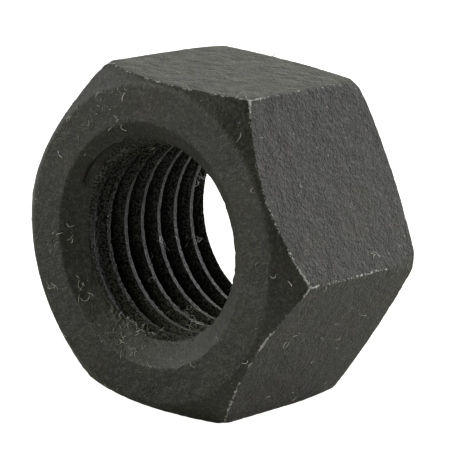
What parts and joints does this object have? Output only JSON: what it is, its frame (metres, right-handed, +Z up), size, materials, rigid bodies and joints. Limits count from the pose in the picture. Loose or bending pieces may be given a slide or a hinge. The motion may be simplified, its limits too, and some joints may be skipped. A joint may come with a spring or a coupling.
{
  "type": "hex nut",
  "caption": "Hexagonal steel nut in matte black oxide, chamfered on both faces, with a countersunk right-hand threaded hole.",
  "frame": {"origin": "the middle of the nut on its thread axis", "axes": "+Y along the thread axis from the front face to the back face, +Z up through a wrench flat, +X to the right through a corner, seen from the front"},
  "size_m": [0.046, 0.0238, 0.04],
  "materials": {
    "black_oxide_steel": "matte black oxide with a fine grain, worn to bare grey along the edges"
  },
  "bodies": {
    "root": {"hex_nut": "black_oxide_steel"}
  },
  "joints": []
}
